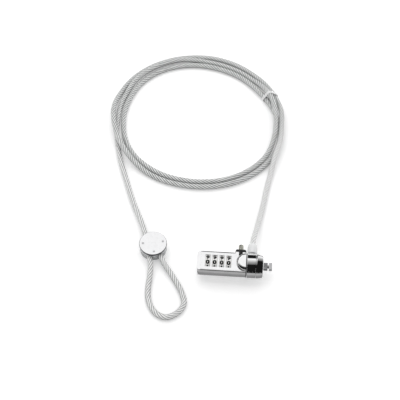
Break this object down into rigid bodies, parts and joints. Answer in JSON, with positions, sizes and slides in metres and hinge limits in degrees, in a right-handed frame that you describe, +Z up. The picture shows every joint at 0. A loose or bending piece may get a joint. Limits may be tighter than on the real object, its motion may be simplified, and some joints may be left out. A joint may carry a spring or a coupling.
{
  "type": "laptop cable lock",
  "caption": "Combination lock with number dials, a push button and a T-bar for a laptop's security slot, on a coiled steel cable with a round anchor and loop.",
  "frame": {"origin": "on the surface the lock lies on, under the middle of the lock without its cable", "axes": "+X along the barrel's axis towards the T-bar, +Y from the lock towards its button, boot and the coiled cable, +Z up, square to the dial face"},
  "size_m": [0.1506, 0.273, 0.0196],
  "materials": {
    "barrel_chrome": "polished chrome plate on die-cast zinc",
    "plate_chrome": "polished chrome plate on die-cast zinc",
    "tee_chrome": "polished chrome plate on steel",
    "collar_black": "glossy black",
    "button_nickel": "satin nickel plate",
    "dial_nickel": "satin, with filled black numbers",
    "hub_brass": "machined",
    "steel": "bright, machined",
    "washer_nylon": "matte black",
    "boot_clear": "milky translucent vinyl",
    "cable_cover": "clear vinyl over a laid steel rope",
    "tie_clear": "clear",
    "puck_grey": "satin grey",
    "puck_white": "satin white",
    "rivet_alu": "satin"
  },
  "bodies": {
    "cable_end": {"swivel_ring": "barrel_chrome", "cable_ferrule": "tee_chrome", "cable_boot": "boot_clear", "cable_lock_leg": "cable_cover", "cable_coil": "cable_cover", "cable_tie": "tie_clear", "cable_anchor_leg": "cable_cover", "cable_loop": "cable_cover", "crimp_sleeve": "rivet_alu", "puck_base": "puck_grey", "puck_cover": "puck_white", "puck_rivets": "rivet_alu"},
    "barrel": {"barrel": "barrel_chrome", "face_plate": "plate_chrome", "end_cap": "barrel_chrome", "cap_screws": "steel", "nose_cap": "barrel_chrome", "guard_pins": "tee_chrome", "seam_washer": "washer_nylon", "nose_washer": "washer_nylon", "button_collar": "collar_black", "button_spring": "steel", "detent_spring": "steel"},
    "dial_1": {"dial_1": "dial_nickel", "dial_hub_1": "hub_brass"},
    "dial_2": {"dial_2": "dial_nickel", "dial_hub_2": "hub_brass"},
    "dial_3": {"dial_3": "dial_nickel", "dial_hub_3": "hub_brass"},
    "dial_4": {"dial_4": "dial_nickel", "dial_hub_4": "hub_brass"},
    "locking_shaft": {"locking_shaft": "steel"},
    "t_bar": {"t_bar": "tee_chrome", "pinion": "hub_brass", "retaining_clip": "steel"},
    "button": {"push_button": "button_nickel"}
  },
  "joints": [
    {"name": "swivel", "type": "hinge", "parent": "cable_end", "child": "barrel", "pos_m": [0.0131, -0.00335, 0.0098], "axis": [1, 0, 0], "continuous": true},
    {"name": "dial_1_turn", "type": "hinge", "parent": "barrel", "child": "dial_1", "pos_m": [-0.0207, -0.00335, 0.0098], "axis": [1, 0, 0], "continuous": true},
    {"name": "dial_2_turn", "type": "hinge", "parent": "barrel", "child": "dial_2", "pos_m": [-0.0153, -0.00335, 0.0098], "axis": [1, 0, 0], "continuous": true},
    {"name": "dial_3_turn", "type": "hinge", "parent": "barrel", "child": "dial_3", "pos_m": [-0.0099, -0.00335, 0.0098], "axis": [1, 0, 0], "continuous": true},
    {"name": "dial_4_turn", "type": "hinge", "parent": "barrel", "child": "dial_4", "pos_m": [-0.0045, -0.00335, 0.0098], "axis": [1, 0, 0], "continuous": true},
    {"name": "button_press", "type": "slide", "parent": "barrel", "child": "button", "axis": [0, -1, 0], "range_m": [0, 0.00251], "stiffness_N_per_m": 300, "springref_m": -0.002, "deforming": ["button_spring"]},
    {"name": "t_bar_turn", "type": "hinge", "parent": "barrel", "child": "t_bar", "pos_m": [0.0192, -0.00335, 0.0098], "axis": [1, 0, 0], "range_deg": [0, 90]},
    {"name": "shaft_slide", "type": "slide", "parent": "barrel", "child": "locking_shaft", "axis": [-1, 0, 0], "range_m": [0, 0.0012]}
  ],
  "couplings": [
    {"joint": "t_bar_turn", "follows": "button_press", "rad_per_m": 625},
    {"joint": "shaft_slide", "follows": "button_press", "ratio": 0.4774}
  ]
}
